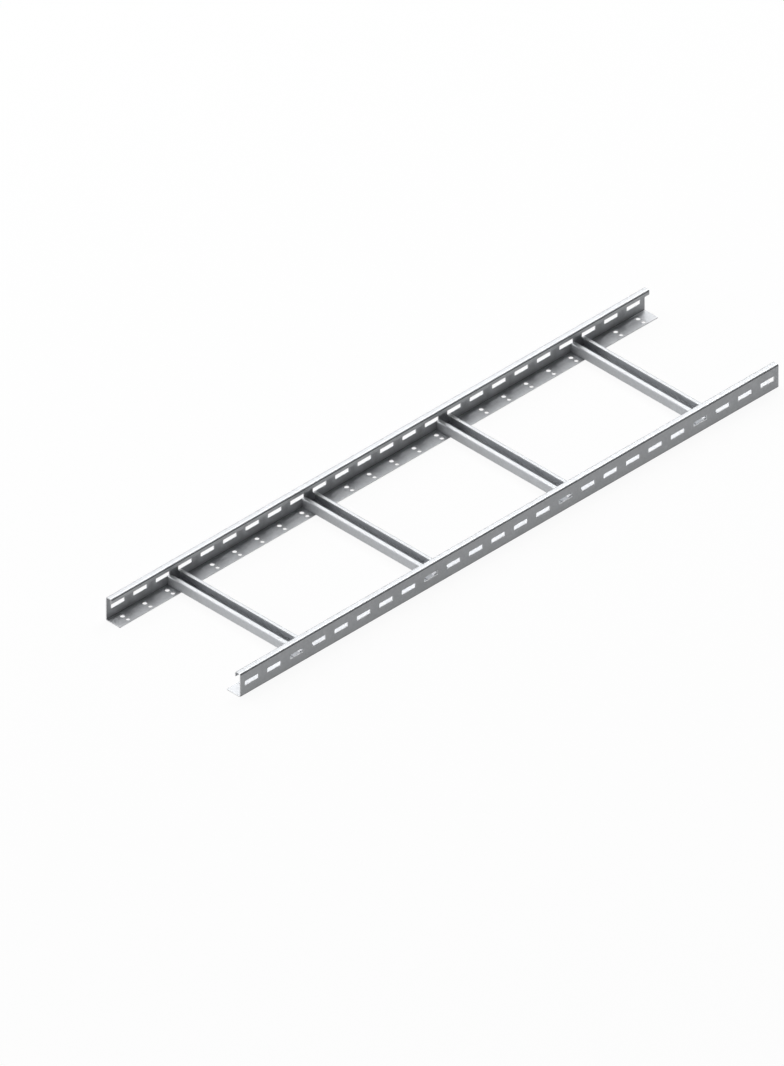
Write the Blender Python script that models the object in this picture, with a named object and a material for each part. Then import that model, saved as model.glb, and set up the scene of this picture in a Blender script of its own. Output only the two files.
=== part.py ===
"""Cable ladder: two folded, slotted side rails joined by open-topped rungs.

The ladder lies along X and stands on the feet of its rails at Z = 0, with the origin under the
middle of its length and width. All sizes are in metres. Each rail is one folded sheet: a lip, a top
flange, a web and a wide foot. Each rung is one folded sheet too, a channel whose lips leave a slot
along its top for cable clamps. The rungs stand on the feet of both rails and are welded there.
"""

import math

import bmesh
import bpy
from mathutils import Matrix, Vector

# Ladder
LADDER_WIDTH = 0.300
RUNG_COUNT = 4
RUNG_PITCH = 0.300
END_DISTANCE = 0.150

# Side rail, outside sizes of its section
RAIL_HEIGHT = 0.045
RAIL_TOP_WIDTH = 0.012
RAIL_LIP_HEIGHT = 0.009
RAIL_FOOT_WIDTH = 0.031
RAIL_SHEET = 0.0015
RAIL_INSIDE_RADIUS = 0.0015

# Slots along the middle of each web, and one pair of foot holes beside each slot
PERFORATION_PITCH = 0.050
SLOT_LENGTH = 0.030
SLOT_HEIGHT = 0.0085
SLOT_CORNER_RADIUS = 0.001
WEB_SIDE_HOLE_DIAMETER = 0.008
EDGE_SIDE_HOLE_DIAMETER = 0.007
HOLE_ROW_SPACING = 0.012
HOLE_TO_FOOT_EDGE = 0.007

# Rung, outside sizes of its section
RUNG_WIDTH = 0.030
RUNG_HEIGHT = 0.018
RUNG_LIP_WIDTH = 0.00675
RUNG_SHEET = 0.0015
RUNG_INSIDE_RADIUS = 0.0005

# Room for the weld between a rung and the rails
WELD_GAP = 0.0003

# How finely round shapes are cut into flats
BEND_SEGMENTS = 6
SLOT_CORNER_SEGMENTS = 3
HOLE_SEGMENTS = 16
SMOOTH_ANGLE = math.radians(40)

# How far a punch stands out on both sides of the sheet that it cuts
PUNCH_OVERRUN = 0.002

# Zinc coating: colour in linear light, roughness and metallic value
RAIL_FINISH = ((0.56, 0.57, 0.58, 1.0), 0.42, 0.9)
RUNG_FINISH = ((0.60, 0.61, 0.62, 1.0), 0.38, 0.9)

# Sections are drawn in a plane, and these turn them to run along the rails or along the rungs
ALONG_X = Matrix(((0, 0, 1, 0), (1, 0, 0, 0), (0, 1, 0, 0), (0, 0, 0, 1)))
ALONG_Y = Matrix(((-1, 0, 0, 0), (0, 0, 1, 0), (0, 1, 0, 0), (0, 0, 0, 1)))

# Half a turn about Z, as a quaternion
END_FOR_END = (0, 0, 0, 1)

LADDER_LENGTH = (RUNG_COUNT - 1) * RUNG_PITCH + 2 * END_DISTANCE


def clear_scene():
    """Removes every object that the scene starts with."""
    for obj in list(bpy.data.objects):
        bpy.data.objects.remove(obj)


def make_material(name, finish):
    """Makes a plain metal material from its colour, roughness and metallic value."""
    colour, roughness, metallic = finish
    material = bpy.data.materials.new(name)
    material.use_nodes = True
    shader = material.node_tree.nodes["Principled BSDF"]
    shader.inputs["Base Color"].default_value = colour
    shader.inputs["Roughness"].default_value = roughness
    shader.inputs["Metallic"].default_value = metallic
    return material


def left_of(direction):
    """The direction a quarter turn to the left."""
    return Vector((-direction.y, direction.x))


def folded_outline(corners, sheet, inside_radius):
    """Closed outline of a folded sheet, from the outside corners of its section.

    The first and last corners are the sheet's two cut edges. The way through the corners turns left
    by a quarter at each of the others, and the sheet lies on its left.
    """
    corners = [Vector(corner) for corner in corners]
    outside_radius = inside_radius + sheet
    outside = [corners[0]]
    inside = [corners[0] + left_of((corners[1] - corners[0]).normalized()) * sheet]
    for before, corner, after in zip(corners, corners[1:], corners[2:]):
        way_in = (corner - before).normalized()
        way_out = (after - corner).normalized()
        centre = corner + (way_out - way_in) * outside_radius
        for step in range(BEND_SEGMENTS + 1):
            angle = math.pi / 2 * step / BEND_SEGMENTS
            outward = -left_of(way_in) * math.cos(angle) + way_in * math.sin(angle)
            outside.append(centre + outward * outside_radius)
            inside.append(centre + outward * inside_radius)
    outside.append(corners[-1])
    inside.append(corners[-1] + left_of((corners[-1] - corners[-2]).normalized()) * sheet)
    return outside + inside[::-1]


def rounded_rectangle(width, height, corner_radius, segments):
    """Outline of a rectangle with round corners, about its centre."""
    points = []
    for quarter, (side, level) in enumerate(((1, 1), (-1, 1), (-1, -1), (1, -1))):
        centre = Vector((side * (width / 2 - corner_radius), level * (height / 2 - corner_radius)))
        for step in range(segments + 1):
            angle = math.pi / 2 * (quarter + step / segments)
            points.append(centre + Vector((math.cos(angle), math.sin(angle))) * corner_radius)
    return points


def regular_polygon(diameter, segments):
    """Outline of a round hole, with a flat to each side."""
    angles = (math.tau * (step + 0.5) / segments for step in range(segments))
    return [Vector((math.cos(angle), math.sin(angle))) * diameter / 2 for angle in angles]


def add_prism(bm, outline, length, placement):
    """Adds an outline extruded by a length, centred along it, and puts it in its place."""
    start = [bm.verts.new((point.x, point.y, -length / 2)) for point in outline]
    face = bm.faces.new(start)
    grown = bmesh.ops.extrude_face_region(bm, geom=[face], use_keep_orig=True)
    end = [item for item in grown["geom"] if isinstance(item, bmesh.types.BMVert)]
    bmesh.ops.translate(bm, verts=end, vec=(0, 0, length))
    bmesh.ops.transform(bm, matrix=placement, verts=start + end)


def finish_mesh(name, bm):
    """Turns the bmesh into a mesh with outward faces and smooth bends."""
    bmesh.ops.recalc_face_normals(bm, faces=bm.faces)
    mesh = bpy.data.meshes.new(name)
    bm.to_mesh(mesh)
    bm.free()
    mesh.shade_smooth()
    mesh.set_sharp_from_angle(angle=SMOOTH_ANGLE)
    return mesh


def add_object(name, mesh):
    """Adds an object that shows a mesh."""
    obj = bpy.data.objects.new(name, mesh)
    bpy.context.scene.collection.objects.link(obj)
    return obj


def perforation_places():
    """Where the slots and foot holes lie along X, as a row centred on the ladder."""
    count = math.floor(round(LADDER_LENGTH / PERFORATION_PITCH, 6))
    return [(index - (count - 1) / 2) * PERFORATION_PITCH for index in range(count)]


def make_slot_punches():
    """The punches for the web slots, each of which goes through both webs."""
    outline = rounded_rectangle(SLOT_LENGTH, SLOT_HEIGHT, SLOT_CORNER_RADIUS, SLOT_CORNER_SEGMENTS)
    bm = bmesh.new()
    for place in perforation_places():
        placement = Matrix.Translation((place, 0, RAIL_HEIGHT / 2)) @ ALONG_Y
        add_prism(bm, outline, LADDER_WIDTH + 2 * PUNCH_OVERRUN, placement)
    return add_punches("slot_punches", bm)


def make_foot_punches():
    """The punches for the pairs of round holes in both feet."""
    edge_side_row = LADDER_WIDTH / 2 - RAIL_FOOT_WIDTH + HOLE_TO_FOOT_EDGE
    rows = (
        (edge_side_row, EDGE_SIDE_HOLE_DIAMETER),
        (edge_side_row + HOLE_ROW_SPACING, WEB_SIDE_HOLE_DIAMETER),
    )
    bm = bmesh.new()
    for place in perforation_places():
        for distance, diameter in rows:
            outline = regular_polygon(diameter, HOLE_SEGMENTS)
            for side in (-1, 1):
                placement = Matrix.Translation((place, side * distance, RAIL_SHEET / 2))
                add_prism(bm, outline, RAIL_SHEET + 2 * PUNCH_OVERRUN, placement)
    return add_punches("foot_punches", bm)


def add_punches(name, bm):
    """Adds an object that only cuts, and doesn't show."""
    punches = add_object(name, finish_mesh(name, bm))
    punches.hide_render = True
    punches.display_type = "WIRE"
    return punches


def make_rail_mesh():
    """The right-hand rail before it is punched: lip, top flange, web and foot in one sheet."""
    web = -LADDER_WIDTH / 2
    corners = (
        (web + RAIL_TOP_WIDTH, RAIL_HEIGHT - RAIL_LIP_HEIGHT),
        (web + RAIL_TOP_WIDTH, RAIL_HEIGHT),
        (web, RAIL_HEIGHT),
        (web, 0),
        (web + RAIL_FOOT_WIDTH, 0),
    )
    bm = bmesh.new()
    outline = folded_outline(corners, RAIL_SHEET, RAIL_INSIDE_RADIUS)
    add_prism(bm, outline, LADDER_LENGTH, ALONG_X)
    return finish_mesh("side_rail", bm)


def make_rails():
    """Both rails: the same folded sheet, the left one turned end for end."""
    mesh = make_rail_mesh()
    mesh.materials.append(make_material("galvanised_rail", RAIL_FINISH))
    right = add_object("side_rail_right", mesh)
    left = add_object("side_rail_left", mesh)
    left.rotation_mode = "QUATERNION"
    left.rotation_quaternion = END_FOR_END
    for punches in (make_slot_punches(), make_foot_punches()):
        for rail in (right, left):
            cut = rail.modifiers.new(punches.name, "BOOLEAN")
            cut.operation = "DIFFERENCE"
            cut.object = punches


def make_rung_mesh():
    """A rung: a channel with lips that leave a slot along its top."""
    side = RUNG_WIDTH / 2
    slot_edge = side - RUNG_LIP_WIDTH
    corners = (
        (-slot_edge, RUNG_HEIGHT),
        (-side, RUNG_HEIGHT),
        (-side, 0),
        (side, 0),
        (side, RUNG_HEIGHT),
        (slot_edge, RUNG_HEIGHT),
    )
    # A rung ends where the bend at the bottom of each rail begins.
    length = LADDER_WIDTH - 2 * (RAIL_SHEET + RAIL_INSIDE_RADIUS)
    bm = bmesh.new()
    outline = folded_outline(corners, RUNG_SHEET, RUNG_INSIDE_RADIUS)
    add_prism(bm, outline, length, ALONG_Y)
    return finish_mesh("rung", bm)


def make_rungs():
    """The rungs, evenly spaced and standing on the rails' feet."""
    mesh = make_rung_mesh()
    mesh.materials.append(make_material("galvanised_rung", RUNG_FINISH))
    for index in range(RUNG_COUNT):
        rung = add_object(f"rung_{index + 1}", mesh)
        place = (index - (RUNG_COUNT - 1) / 2) * RUNG_PITCH
        rung.location = (place, 0, RAIL_SHEET + WELD_GAP)


def main():
    clear_scene()
    make_rails()
    make_rungs()


if __name__ == "__main__":
    main()
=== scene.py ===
"""Dresses a welded cable ladder: two folded, punched side rails joined by open-topped rungs.

The ladder lies along X with its feet on Z = 0, and every size is in metres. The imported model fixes
where each sheet lies. Here each sheet is folded and punched again with round bends, round holes and
rubbed edges, and gets its zinc coat. A pale studio and the camera of the photograph stand round it.
"""

import logging
import math
from collections.abc import Callable, Iterator
from contextlib import contextmanager
from dataclasses import dataclass
from enum import Enum

import bmesh
import bpy
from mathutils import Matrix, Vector

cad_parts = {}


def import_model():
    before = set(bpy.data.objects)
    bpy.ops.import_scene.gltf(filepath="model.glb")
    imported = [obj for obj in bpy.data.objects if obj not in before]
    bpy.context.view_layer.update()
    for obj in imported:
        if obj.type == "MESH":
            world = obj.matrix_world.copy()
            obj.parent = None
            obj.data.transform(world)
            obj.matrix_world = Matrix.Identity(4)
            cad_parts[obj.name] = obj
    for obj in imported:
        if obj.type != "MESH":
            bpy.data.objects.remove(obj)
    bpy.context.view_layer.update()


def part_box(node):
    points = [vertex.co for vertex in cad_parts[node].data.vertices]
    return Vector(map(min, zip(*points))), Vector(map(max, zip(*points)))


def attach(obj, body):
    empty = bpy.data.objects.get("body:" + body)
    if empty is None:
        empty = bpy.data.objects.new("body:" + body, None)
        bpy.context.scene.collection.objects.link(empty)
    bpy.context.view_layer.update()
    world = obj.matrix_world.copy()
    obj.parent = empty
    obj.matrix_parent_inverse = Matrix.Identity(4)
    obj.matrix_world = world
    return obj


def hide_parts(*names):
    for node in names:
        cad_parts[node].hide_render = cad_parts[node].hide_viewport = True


log = logging.getLogger("cable_ladder")

BODY = "root"

# Flats that meet at more than the first angle are a fold. Faces that meet at less than the second
# are steps of one round bend.
FOLD_ANGLE = math.radians(60)
SMOOTH_ANGLE = math.radians(14)

# How far apart two places may lie and still be taken as one.
TOUCH = 0.0001

# The attribute that holds the painted shade along the folds, a dark line where each fold leaves its
# upright flat, how sharply that painted shade fades round a fold, and how far past a fold's radius a
# point may lie and still be part of the fold.
FOLD_SHADE_ATTRIBUTE = "painted_fold_shade"
SHADE_FALLOFF = 12
REACH = 1.01

# The middle of the range that a noise or a crystal's value runs through.
MIDDLE = 0.5

# The zinc on the flats, and the brighter metal of the cut edges.
ZINC = (0.61, 0.625, 0.645)
CUT_METAL = (0.75, 0.755, 0.765)


class Pick(Enum):
    """What a step in edit mode selects."""

    EDGES = "EDGE"
    FACES = "FACE"


class Workpiece:
    """A mesh on the bench, shaped in edit mode and finished with modifiers."""

    def __init__(self, name: str, size: tuple[float, float, float]) -> None:
        """Takes the primitive that was just added as the raw piece.

        Args:
            name: The object's name.
            size: How far its unit-sized mesh is stretched along X, Y and Z.
        """
        self.body = bpy.context.object
        self.body.name = name
        self.body.scale = size
        bpy.ops.object.transform_apply(location=True, rotation=True, scale=True)

    @contextmanager
    def editing(self, pick: Pick) -> Iterator[None]:
        """Opens the mesh in edit mode with nothing selected, and closes it again.

        Args:
            pick: Whether the step works on edges or on faces.

        Yields:
            Nothing; the mesh is open meanwhile.
        """
        make_active(self.body)
        bpy.ops.object.mode_set(mode="EDIT")
        bpy.ops.mesh.select_mode(type=pick.value)
        bpy.ops.mesh.select_all(action="DESELECT")
        yield
        bpy.ops.object.mode_set(mode="OBJECT")

    def select_edges(self, wanted: Callable[[bmesh.types.BMEdge], bool]) -> None:
        """Selects the edges of the open mesh that pass a test.

        Args:
            wanted: Says of an edge whether it is selected.
        """
        mesh = bmesh.from_edit_mesh(self.body.data)
        for edge in mesh.edges:
            edge.select_set(wanted(edge))
        mesh.select_flush_mode()
        bmesh.update_edit_mesh(self.body.data)

    def fold_on(self, wanted: Callable[[bmesh.types.BMEdge], bool], *moves: Vector) -> None:
        """Grows the sheet from some of its edges, one flat after the other.

        Args:
            wanted: Says of an edge whether the sheet grows from it.
            moves: How far each new flat reaches, and which way.
        """
        with self.editing(Pick.EDGES):
            self.select_edges(wanted)
            for move in moves:
                bpy.ops.mesh.extrude_region_move(TRANSFORM_OT_translate={"value": move})

    def face_outwards(self) -> None:
        """Turns all faces to one side, which is the lower one on the flat that the piece began as."""
        with self.editing(Pick.FACES):
            bpy.ops.mesh.select_all(action="SELECT")
            bpy.ops.mesh.normals_make_consistent(inside=False)
            mesh = bmesh.from_edit_mesh(self.body.data)
            lowest = min(mesh.faces, key=lambda face: face.calc_center_median().z)
            if lowest.normal.z > 0:
                bpy.ops.mesh.flip_normals()

    def round_edges(
        self, wanted: Callable[[bmesh.types.BMEdge], bool], radius: float, segments: int
    ) -> None:
        """Rounds some of the edges.

        Args:
            wanted: Says of an edge whether it is rounded.
            radius: The radius that it gets.
            segments: How many narrow faces make up the round.
        """
        with self.editing(Pick.EDGES):
            self.select_edges(wanted)
            bpy.ops.mesh.bevel(offset=radius, segments=segments, profile=0.5, clamp_overlap=False)

    def apply(self, kind: str, **settings: object) -> None:
        """Puts a modifier on the piece and applies it.

        Args:
            kind: The modifier's type.
            settings: The values of its properties.
        """
        make_active(self.body)
        modifier = self.body.modifiers.new(kind.lower(), kind)
        for name, value in settings.items():
            setattr(modifier, name, value)
        bpy.ops.object.modifier_apply(modifier=modifier.name)

    def coat(self, *finishes: bpy.types.Material) -> None:
        """Gives the piece its materials, in the order of their slots."""
        for finish in finishes:
            self.body.data.materials.append(finish)

    def thicken(self, sheet: float) -> None:
        """Gives the sheet its thickness inwards. Its rims take the second material."""
        self.apply("SOLIDIFY", thickness=sheet, offset=-1, use_even_offset=True, material_offset_rim=1)

    def repeat(self, count: int, pitch: float) -> None:
        """Repeats the piece along X at an even pitch, as one mesh."""
        self.apply(
            "ARRAY",
            count=count,
            use_relative_offset=False,
            use_constant_offset=True,
            constant_offset_displace=(pitch, 0, 0),
        )

    def punch(self, tool: "Workpiece") -> None:
        """Cuts a row of openings with punches that are one mesh, and takes the punches away."""
        self.apply(
            "BOOLEAN",
            operation="DIFFERENCE",
            solver="EXACT",
            object=tool.body,
            material_mode="TRANSFER",
        )
        bpy.data.objects.remove(tool.body)

    def rub_edges(self, width: float) -> None:
        """Takes the sharpness off every cut edge, and shades bends smooth and flats flat.

        Args:
            width: How much of each face the rounding takes.
        """
        self.apply("BEVEL", width=width, segments=2, limit_method="ANGLE", angle_limit=FOLD_ANGLE)
        bpy.ops.object.shade_smooth_by_angle(angle=SMOOTH_ANGLE)
        self.apply("WEIGHTED_NORMAL", keep_sharp=True)

    def paint_fold_shade(self, run: int, middles: list[Vector], radius: float) -> None:
        """Stores in an attribute how much painted shade darkens each point of the folds, from 0 to 1.

        The painted shade is a dark line along each fold, where it leaves its upright flat.

        Args:
            run: The axis along which the folds run, 0 for X and 1 for Y.
            middles: A point on the middle line of each round fold.
            radius: The outside radius of the folds.
        """
        painted_shade = self.body.data.attributes.new(FOLD_SHADE_ATTRIBUTE, "FLOAT", "POINT")
        for point, mark in zip(self.body.data.vertices, painted_shade.data):
            for middle in middles:
                offset = point.co - middle
                offset[run] = 0
                if offset.length < radius * REACH:
                    mark.value = fold_shade_strength(math.atan2(abs(offset.z), abs(offset[1 - run])))


def fold_shade_strength(turn: float) -> float:
    """Says how strong the painted shade is on a fold, from 0 to 1.

    Args:
        turn: How far round the fold a point lies from the upright flat, as an angle.

    Returns:
        Its strength: nothing at the flat itself, a peak a little past it, and a fade from there.
    """
    peak = math.atan(1 / math.sqrt(SHADE_FALLOFF))
    greatest = math.cos(peak) ** SHADE_FALLOFF * math.sin(peak)
    return math.cos(turn) ** SHADE_FALLOFF * math.sin(turn) / greatest


def make_active(body: bpy.types.Object) -> None:
    """Selects one object and nothing else, so that the next operator works on it alone.

    Args:
        body: The object.
    """
    bpy.ops.object.select_all(action="DESELECT")
    body.select_set(True)
    bpy.context.view_layer.objects.active = body


def copy_of(body: bpy.types.Object, name: str) -> bpy.types.Object:
    """Copies a finished piece, with a mesh of its own.

    Args:
        body: The piece.
        name: The copy's name.

    Returns:
        The copy, in the same place.
    """
    make_active(body)
    bpy.ops.object.duplicate(linked=False)
    copy = bpy.context.object
    copy.name = name
    return copy


def hand_over(piece: bpy.types.Object, node: str) -> None:
    """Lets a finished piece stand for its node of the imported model.

    Args:
        piece: The piece.
        node: The node that it stands for.
    """
    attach(piece, BODY)
    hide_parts(node)
    log.info("%s: %d faces", piece.name, len(piece.data.polygons))


@dataclass
class SideRails:
    """The two side rails. Each is one sheet with a lip, a top flange, a web and a foot."""

    top_width: float = 0.012
    lip_height: float = 0.009
    sheet: float = 0.0015
    bend_radius: float = 0.003
    bend_segments: int = 12
    pitch: float = 0.050
    slot_length: float = 0.030
    slot_height: float = 0.0085
    slot_corner: float = 0.001
    slot_corner_segments: int = 6
    web_side_hole: float = 0.008
    edge_side_hole: float = 0.007
    hole_spacing: float = 0.012
    hole_to_edge: float = 0.007
    hole_segments: int = 32
    overrun: float = 0.002
    rub: float = 0.00015

    @property
    def punch_length(self) -> float:
        """How long the punches are, whose middles lie on the sheet's outer face."""
        return 2 * (self.sheet + self.overrun)

    def fold(self, low: Vector, high: Vector) -> Workpiece:
        """Folds the right-hand rail from its foot upwards.

        Args:
            low: The lowest corner of the rail's box.
            high: Its highest corner.

        Returns:
            The folded sheet, with round bends and no thickness yet.
        """
        size = high - low
        bpy.ops.object.select_all(action="DESELECT")
        bpy.ops.mesh.primitive_grid_add(
            x_subdivisions=round(size.x / self.pitch),
            y_subdivisions=1,
            size=1,
            location=((low.x + high.x) / 2, (low.y + high.y) / 2, low.z),
        )
        rail = Workpiece("rail_right", (size.x, size.y, 1))
        rail.fold_on(
            lambda edge: all(abs(corner.co.y - low.y) < TOUCH for corner in edge.verts),
            Vector((0, 0, size.z)),
            Vector((0, self.top_width, 0)),
            Vector((0, 0, -self.lip_height)),
        )
        rail.face_outwards()
        rail.round_edges(is_fold, self.bend_radius, self.bend_segments)
        return rail

    def slot_punches(self, first: Vector, count: int) -> Workpiece:
        """Makes the punches for the slots in the web.

        Args:
            first: The middle of the first slot.
            count: How many slots there are.

        Returns:
            Bars along Y with round corners.
        """
        bpy.ops.object.select_all(action="DESELECT")
        bpy.ops.mesh.primitive_cube_add(size=1, location=first)
        tool = Workpiece("slot_punches", (self.slot_length, self.punch_length, self.slot_height))
        tool.round_edges(
            lambda edge: abs(edge.verts[0].co.y - edge.verts[1].co.y) > self.sheet,
            self.slot_corner,
            self.slot_corner_segments,
        )
        tool.repeat(count, self.pitch)
        return tool

    def hole_punches(self, first: Vector, count: int, diameter: float) -> Workpiece:
        """Makes the punches for one row of round holes in the foot.

        Args:
            first: The middle of the first hole.
            count: How many holes there are.
            diameter: Their size.

        Returns:
            Short upright bars.
        """
        bpy.ops.object.select_all(action="DESELECT")
        bpy.ops.mesh.primitive_cylinder_add(
            vertices=self.hole_segments, radius=diameter / 2, depth=1, location=first
        )
        tool = Workpiece("hole_punches", (1, 1, self.punch_length))
        tool.repeat(count, self.pitch)
        return tool

    def build(self, coat: bpy.types.Material, cut: bpy.types.Material) -> None:
        """Makes both rails.

        Args:
            coat: The zinc on the flats.
            cut: The cut edges.
        """
        low, high = (Vector(corner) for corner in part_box("side_rail_right"))
        rail = self.fold(low, high)
        rail.coat(coat, cut)
        rail.thicken(self.sheet)
        count = round((high.x - low.x) / self.pitch)
        first = low.x + self.pitch / 2
        edge_side = high.y - self.hole_to_edge
        web_side = edge_side - self.hole_spacing
        for tool in (
            self.slot_punches(Vector((first, low.y, (low.z + high.z) / 2)), count),
            self.hole_punches(Vector((first, edge_side, low.z)), count, self.edge_side_hole),
            self.hole_punches(Vector((first, web_side, low.z)), count, self.web_side_hole),
        ):
            tool.coat(cut)
            rail.punch(tool)
        rail.rub_edges(self.rub)
        near_web = low.y + self.bend_radius
        near_lip = low.y + self.top_width - self.bend_radius
        near_top = high.z - self.bend_radius
        # Paints a dark line of shade along the rail's three folds.
        rail.paint_fold_shade(
            0,
            [
                Vector((0, near_web, low.z + self.bend_radius)),
                Vector((0, near_web, near_top)),
                Vector((0, near_lip, near_top)),
            ],
            self.bend_radius,
        )
        left = copy_of(rail.body, "rail_left")
        left.rotation_euler.z = math.pi
        bpy.ops.object.transform_apply(location=True, rotation=True, scale=True)
        hand_over(rail.body, "side_rail_right")
        hand_over(left, "side_rail_left")


@dataclass
class Rungs:
    """The rungs. Each is one sheet, a channel whose lips leave a slot along its top."""

    count: int = 4
    lip_width: float = 0.00675
    sheet: float = 0.0015
    bend_radius: float = 0.002
    bend_segments: int = 8
    rub: float = 0.00015

    def fold(self, low: Vector, high: Vector) -> Workpiece:
        """Folds the first rung from its bottom upwards.

        Args:
            low: The lowest corner of the rung's box.
            high: Its highest corner.

        Returns:
            The folded sheet, with round bends and no thickness yet.
        """
        size = high - low
        bpy.ops.object.select_all(action="DESELECT")
        bpy.ops.mesh.primitive_grid_add(
            x_subdivisions=1,
            y_subdivisions=1,
            size=1,
            location=((low.x + high.x) / 2, (low.y + high.y) / 2, low.z),
        )
        rung = Workpiece("rung_sheet_1", (size.x, size.y, 1))
        for side, inwards in ((low.x, 1), (high.x, -1)):
            rung.fold_on(
                lambda edge, x=side: all(abs(corner.co.x - x) < TOUCH for corner in edge.verts),
                Vector((0, 0, size.z)),
                Vector((inwards * self.lip_width, 0, 0)),
            )
        rung.face_outwards()
        rung.round_edges(is_fold, self.bend_radius, self.bend_segments)
        return rung

    def build(self, coat: bpy.types.Material, cut: bpy.types.Material) -> None:
        """Makes all the rungs.

        Args:
            coat: The zinc on the flats.
            cut: The cut edges.
        """
        low, high = (Vector(corner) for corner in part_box("rung_1"))
        first = self.fold(low, high)
        first.coat(coat, cut)
        first.thicken(self.sheet)
        first.rub_edges(self.rub)
        sides = (low.x + self.bend_radius, high.x - self.bend_radius)
        levels = (low.z + self.bend_radius, high.z - self.bend_radius)
        middles = [Vector((side, 0, level)) for side in sides for level in levels]
        # Stores the painted fold shade on the rungs too, though their zinc is not darkened by it.
        first.paint_fold_shade(1, middles, self.bend_radius)
        pieces = [first.body]
        for number in range(2, self.count + 1):
            copy = copy_of(first.body, f"rung_sheet_{number}")
            copy.location.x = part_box(f"rung_{number}")[0][0] - low.x
            bpy.ops.object.transform_apply(location=True, rotation=True, scale=True)
            pieces.append(copy)
        for number, piece in enumerate(pieces, start=1):
            hand_over(piece, f"rung_{number}")


def is_fold(edge: bmesh.types.BMEdge) -> bool:
    """Says of an edge of a thin sheet whether two of its flats meet there."""
    return edge.calc_face_angle(0) > FOLD_ANGLE


class ShaderTree:
    """A node tree with short ways to add and join nodes."""

    def __init__(self, tree: bpy.types.NodeTree) -> None:
        """Takes the node tree of a material, a world or a group to work on."""
        self.tree = tree

    def add(self, kind: str, inputs: dict | None = None, **settings: object) -> bpy.types.Node:
        """Adds a node.

        Args:
            kind: The node's type.
            inputs: Its inputs by name or number, each a value or the socket to join.
            settings: The values of its properties.

        Returns:
            The node.
        """
        node = self.tree.nodes.new(kind)
        for name, value in settings.items():
            setattr(node, name, value)
        for key, value in (inputs or {}).items():
            if isinstance(value, bpy.types.NodeSocket):
                self.tree.links.new(value, node.inputs[key])
            else:
                node.inputs[key].default_value = value
        return node

    def math(self, operation: str, *values: object) -> bpy.types.NodeSocket:
        """Adds a math node with its inputs in order, and gives its output."""
        return self.add("ShaderNodeMath", dict(enumerate(values)), operation=operation).outputs[0]

    def vector(self, operation: str, *values: object) -> bpy.types.NodeSocket:
        """Adds a vector math node with its inputs in order, and gives its output."""
        return self.add("ShaderNodeVectorMath", dict(enumerate(values)), operation=operation).outputs[0]


def new_group(
    name: str, inputs: dict[str, str], outputs: dict[str, str]
) -> tuple[ShaderTree, bpy.types.Node, bpy.types.Node]:
    """Starts a shader node group.

    Args:
        name: The group's name.
        inputs: Its input sockets, each with its type.
        outputs: Its output sockets, each with its type.

    Returns:
        The group's tree, its input node and its output node.
    """
    tree = bpy.data.node_groups.new(name, "ShaderNodeTree")
    for label, kind in inputs.items():
        tree.interface.new_socket(name=label, in_out="INPUT", socket_type=kind)
    for label, kind in outputs.items():
        tree.interface.new_socket(name=label, in_out="OUTPUT", socket_type=kind)
    return ShaderTree(tree), tree.nodes.new("NodeGroupInput"), tree.nodes.new("NodeGroupOutput")


def zinc_crystals() -> bpy.types.NodeTree:
    """Builds the group that breaks a zinc coat up into small crystals.

    Returns:
        The group. Tone and Gloss differ from crystal to crystal, from 0 to 1.
    """
    shader, given, result = new_group(
        "zinc_crystals",
        {"Place": "NodeSocketVector", "Crystal Size": "NodeSocketFloat"},
        {"Tone": "NodeSocketFloat", "Gloss": "NodeSocketFloat"},
    )
    density = shader.math("DIVIDE", 1.0, given.outputs["Crystal Size"])
    drift = shader.add(
        "ShaderNodeTexNoise", {"Vector": given.outputs["Place"], "Scale": density, "Detail": 2.0}
    )
    centred = shader.vector("SUBTRACT", drift.outputs["Color"], (MIDDLE, MIDDLE, MIDDLE))
    wander = shader.add(
        "ShaderNodeVectorMath",
        {0: centred, "Scale": given.outputs["Crystal Size"]},
        operation="SCALE",
    )
    place = shader.vector("ADD", given.outputs["Place"], wander.outputs[0])
    cells = shader.add("ShaderNodeTexVoronoi", {"Vector": place, "Scale": density})
    parts = shader.add("ShaderNodeSeparateColor", {"Color": cells.outputs["Color"]})
    shader.tree.links.new(parts.outputs[0], result.inputs["Tone"])
    shader.tree.links.new(parts.outputs[1], result.inputs["Gloss"])
    return shader.tree


def mill_marks() -> bpy.types.NodeTree:
    """Builds the group for the faint lines and clouds that rolling leaves on sheet metal.

    Returns:
        The group. Lines and Clouds run from 0 to 1.
    """
    shader, given, result = new_group(
        "mill_marks",
        {"Place": "NodeSocketVector", "Stretch": "NodeSocketVector", "Cloud Size": "NodeSocketFloat"},
        {"Lines": "NodeSocketFloat", "Clouds": "NodeSocketFloat"},
    )
    drawn = shader.vector("MULTIPLY", given.outputs["Place"], given.outputs["Stretch"])
    lines = shader.add("ShaderNodeTexNoise", {"Vector": drawn, "Scale": 1.0, "Detail": 3.0})
    density = shader.math("DIVIDE", 1.0, given.outputs["Cloud Size"])
    clouds = shader.add(
        "ShaderNodeTexNoise", {"Vector": given.outputs["Place"], "Scale": density, "Detail": 4.0}
    )
    shader.tree.links.new(lines.outputs[0], result.inputs["Lines"])
    shader.tree.links.new(clouds.outputs[0], result.inputs["Clouds"])
    return shader.tree


class Grain(Enum):
    """Which way the fine lines in a surface run, as how many a metre has along X, Y and Z."""

    ALONG_X = (8.0, 1800.0, 1800.0)
    ALONG_Y = (1800.0, 8.0, 1800.0)
    CUT = (2500.0, 2500.0, 400.0)


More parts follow.
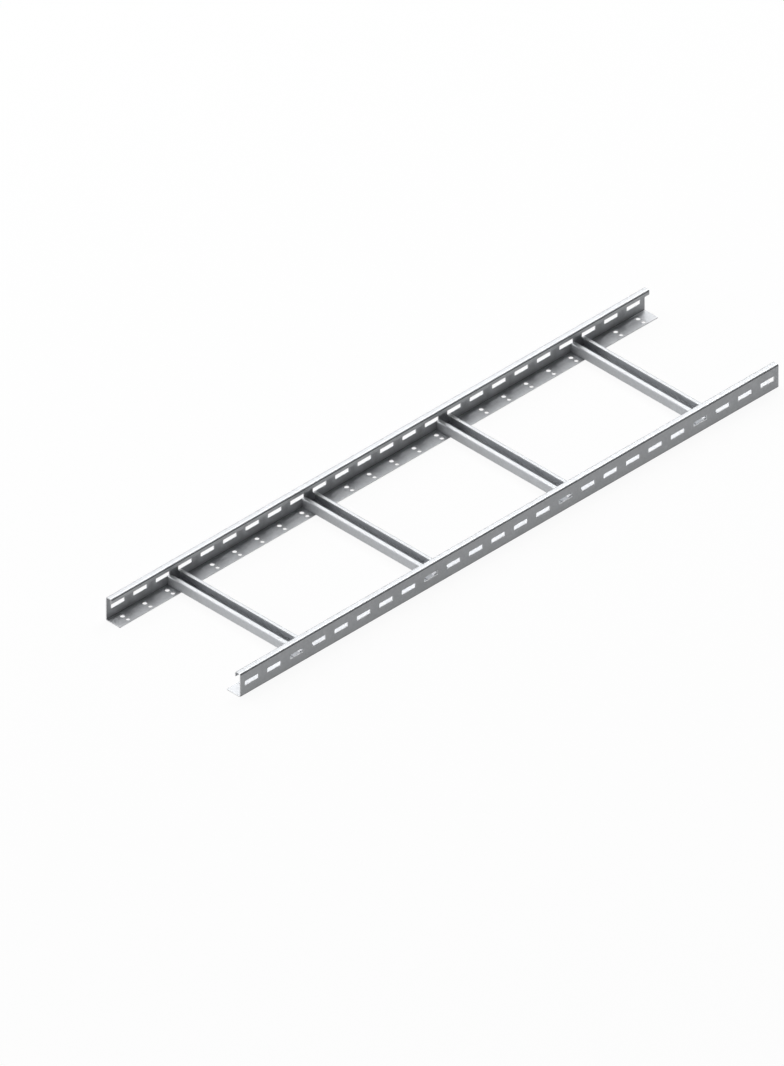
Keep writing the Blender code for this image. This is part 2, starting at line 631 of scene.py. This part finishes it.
@dataclass(frozen=True)
class ZincCoat:
    """A zinc-coated steel surface."""

    name: str
    grain: Grain
    colour: tuple[float, float, float]
    metallic: float = 0.5
    roughness: float = 0.4
    # How much the painted shade along the folds darkens the zinc.
    fold_shade: float = 0.0
    crystal_size: float = 0.0035
    crystal_contrast: float = 0.08
    gloss_spread: float = 0.10
    cloud_size: float = 0.045
    cloud_contrast: float = 0.06
    line_relief: float = 0.000004

    def build(self, crystals: bpy.types.NodeTree, marks: bpy.types.NodeTree) -> bpy.types.Material:
        """Makes the material.

        Args:
            crystals: The group for the crystals of the coat.
            marks: The group for the sheet's lines and clouds.

        Returns:
            The material.
        """
        material = bpy.data.materials.new(self.name)
        material.use_nodes = True
        shader = ShaderTree(material.node_tree)
        metal = material.node_tree.nodes["Principled BSDF"]
        metal.inputs["Metallic"].default_value = self.metallic
        place = shader.add("ShaderNodeTexCoord").outputs["Object"]
        cells = shader.add("ShaderNodeGroup", node_tree=crystals)
        cells.inputs["Crystal Size"].default_value = self.crystal_size
        shader.tree.links.new(place, cells.inputs["Place"])
        mill = shader.add("ShaderNodeGroup", node_tree=marks)
        mill.inputs["Stretch"].default_value = self.grain.value
        mill.inputs["Cloud Size"].default_value = self.cloud_size
        shader.tree.links.new(place, mill.inputs["Place"])
        tone = shader.math("MULTIPLY_ADD", cells.outputs["Tone"], self.crystal_contrast, 1.0)
        clouded = shader.math("MULTIPLY_ADD", mill.outputs["Clouds"], self.cloud_contrast, tone)
        rise = (self.crystal_contrast + self.cloud_contrast) * MIDDLE
        even = shader.math("SUBTRACT", clouded, rise)
        # Painted shade: the folds are darkened along a line just past their upright flats.
        painted_shade = shader.add("ShaderNodeAttribute", attribute_name=FOLD_SHADE_ATTRIBUTE).outputs["Fac"]
        unshaded = shader.math("MULTIPLY_ADD", painted_shade, -self.fold_shade, 1.0)
        level = shader.math("MULTIPLY", even, unshaded)
        tinted = shader.vector("SCALE", self.colour)
        shader.tree.links.new(level, tinted.node.inputs["Scale"])
        shader.tree.links.new(tinted, metal.inputs["Base Color"])
        gloss = shader.math("SUBTRACT", cells.outputs["Gloss"], MIDDLE)
        roughness = shader.math("MULTIPLY_ADD", gloss, self.gloss_spread, self.roughness)
        shader.tree.links.new(roughness, metal.inputs["Roughness"])
        relief = shader.add(
            "ShaderNodeBump",
            {"Height": mill.outputs["Lines"], "Distance": self.line_relief, "Strength": 1.0},
        )
        shader.tree.links.new(relief.outputs[0], metal.inputs["Normal"])
        return material


@dataclass(frozen=True)
class Softbox:
    """A studio light that faces the ladder. Its azimuth is 0 on the +X side and 90 on the +Y side."""

    name: str
    azimuth: float
    elevation: float
    width: float
    height: float
    brightness: float
    distance: float = 8.0

    def hang(self) -> None:
        """Adds the light. One with a brightness of 1 would itself look just white."""
        turn = math.radians(self.azimuth)
        rise = math.radians(self.elevation)
        towards = Vector(
            (math.cos(turn) * math.cos(rise), math.sin(turn) * math.cos(rise), math.sin(rise))
        )
        data = bpy.data.lights.new(self.name, "AREA")
        data.shape = "RECTANGLE"
        data.size = self.width
        data.size_y = self.height
        data.energy = self.brightness * math.pi * self.width * self.height
        lamp = bpy.data.objects.new(self.name, data)
        lamp.location = towards * self.distance
        lamp.rotation_mode = "QUATERNION"
        lamp.rotation_quaternion = towards.to_track_quat("Z", "Y")
        bpy.context.scene.collection.objects.link(lamp)


@dataclass
class Studio:
    """The pale floor, the lights and the camera."""

    floor_size: float = 30.0
    floor_gap: float = 0.0003
    floor_tone: float = 0.8

    # How much of the floor in view is plain white, while the rest takes light and shadow, how bright
    # the floor is where metal mirrors it, and how much light comes from all round.
    seen_share: float = 0.93
    mirrored_tone: float = 0.47
    fill: float = 0.06

    # The azimuth and elevation of each in degrees, its width and height in metres, its brightness.
    softboxes: tuple[Softbox, ...] = (
        Softbox("behind", 45, 38, 4.0, 4.0, 1.1),
        Softbox("behind_left", 75, 38, 4.0, 4.0, 1.6),
        Softbox("behind_right", 20, 55, 4.0, 4.0, 6.9),
        Softbox("above", 0, 90, 4.8, 4.8, 1.2),
        Softbox("left_high", 105, 52, 4.4, 4.4, 3.2),
        Softbox("left_strip", 150, 12, 10.8, 3.6, 3.8),
    )

    # At an azimuth of 0 the camera looks along +Y, and below 0 it stands further round on the -X side.
    camera_azimuth: float = -45.0
    camera_elevation: float = 35.2
    camera_distance: float = 4.0
    height_in_view: float = 1.681
    aim_right: float = -0.0792
    aim_up: float = -0.046

    def lay_floor(self) -> None:
        """Adds the floor. The camera sees it nearly white, and metal mirrors it as one plain tone."""
        bpy.ops.object.select_all(action="DESELECT")
        bpy.ops.mesh.primitive_plane_add(size=self.floor_size, location=(0, 0, -self.floor_gap))
        floor = bpy.context.object
        floor.name = "floor"
        material = bpy.data.materials.new("pale_floor")
        material.use_nodes = True
        shader = ShaderTree(material.node_tree)
        material.node_tree.nodes.clear()
        tone = (self.floor_tone, self.floor_tone, self.floor_tone, 1)
        matte = shader.add("ShaderNodeBsdfDiffuse", {"Color": tone})
        path = shader.add("ShaderNodeLightPath")
        seen = path.outputs["Is Camera Ray"]
        glow = shader.math("MAXIMUM", seen, self.mirrored_tone)
        plain = shader.add("ShaderNodeEmission", {"Strength": glow})
        share = shader.math("MULTIPLY_ADD", seen, self.seen_share, path.outputs["Is Glossy Ray"])
        mix = shader.add("ShaderNodeMixShader", {0: share, 1: matte.outputs[0], 2: plain.outputs[0]})
        shader.add("ShaderNodeOutputMaterial", {"Surface": mix.outputs[0]})
        floor.data.materials.append(material)

    def light(self) -> None:
        """Adds the lights and a plain pale world, which the camera sees white."""
        for softbox in self.softboxes:
            softbox.hang()
        world = bpy.data.worlds.new("pale_room")
        bpy.context.scene.world = world
        world.use_nodes = True
        shader = ShaderTree(world.node_tree)
        path = shader.add("ShaderNodeLightPath")
        seen = shader.math("MAXIMUM", path.outputs["Is Camera Ray"], self.fill)
        background = world.node_tree.nodes["Background"]
        background.inputs["Color"].default_value = (1, 1, 1, 1)
        shader.tree.links.new(seen, background.inputs["Strength"])

    def set_camera(self) -> None:
        """Adds the camera, which looks down on the ladder in a nearly isometric view."""
        turn = math.radians(self.camera_azimuth)
        rise = math.radians(self.camera_elevation)
        back = Vector(
            (math.sin(turn) * math.cos(rise), -math.cos(turn) * math.cos(rise), math.sin(rise))
        )
        right = Vector((math.cos(turn), math.sin(turn), 0))
        up = back.cross(right)
        data = bpy.data.cameras.new("camera")
        data.type = "ORTHO"
        data.ortho_scale = self.height_in_view
        camera = bpy.data.objects.new("camera", data)
        camera.location = right * self.aim_right + up * self.aim_up + back * self.camera_distance
        camera.rotation_mode = "QUATERNION"
        camera.rotation_quaternion = back.to_track_quat("Z", "Y")
        bpy.context.scene.collection.objects.link(camera)
        bpy.context.scene.camera = camera
        bpy.context.scene.view_settings.view_transform = "Standard"

    def build(self) -> None:
        """Sets up the whole studio."""
        self.lay_floor()
        self.light()
        self.set_camera()
        log.info("studio: %d softboxes", len(self.softboxes))


def main() -> None:
    """Builds the pieces, their finishes and the studio, and writes how large the result is."""
    logging.basicConfig(level=logging.INFO, format="%(name)s: %(message)s")
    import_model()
    crystals = zinc_crystals()
    marks = mill_marks()
    # Only the rails' zinc is darkened by the painted fold shade.
    rail_coat = ZincCoat("rail_zinc", Grain.ALONG_X, ZINC, fold_shade=0.8).build(crystals, marks)
    rung_coat = ZincCoat("rung_zinc", Grain.ALONG_Y, ZINC).build(crystals, marks)
    cut_edge = ZincCoat("cut_edge", Grain.CUT, CUT_METAL).build(crystals, marks)
    SideRails().build(rail_coat, cut_edge)
    Rungs().build(rung_coat, cut_edge)
    Studio().build()


if __name__ == "__main__":
    main()
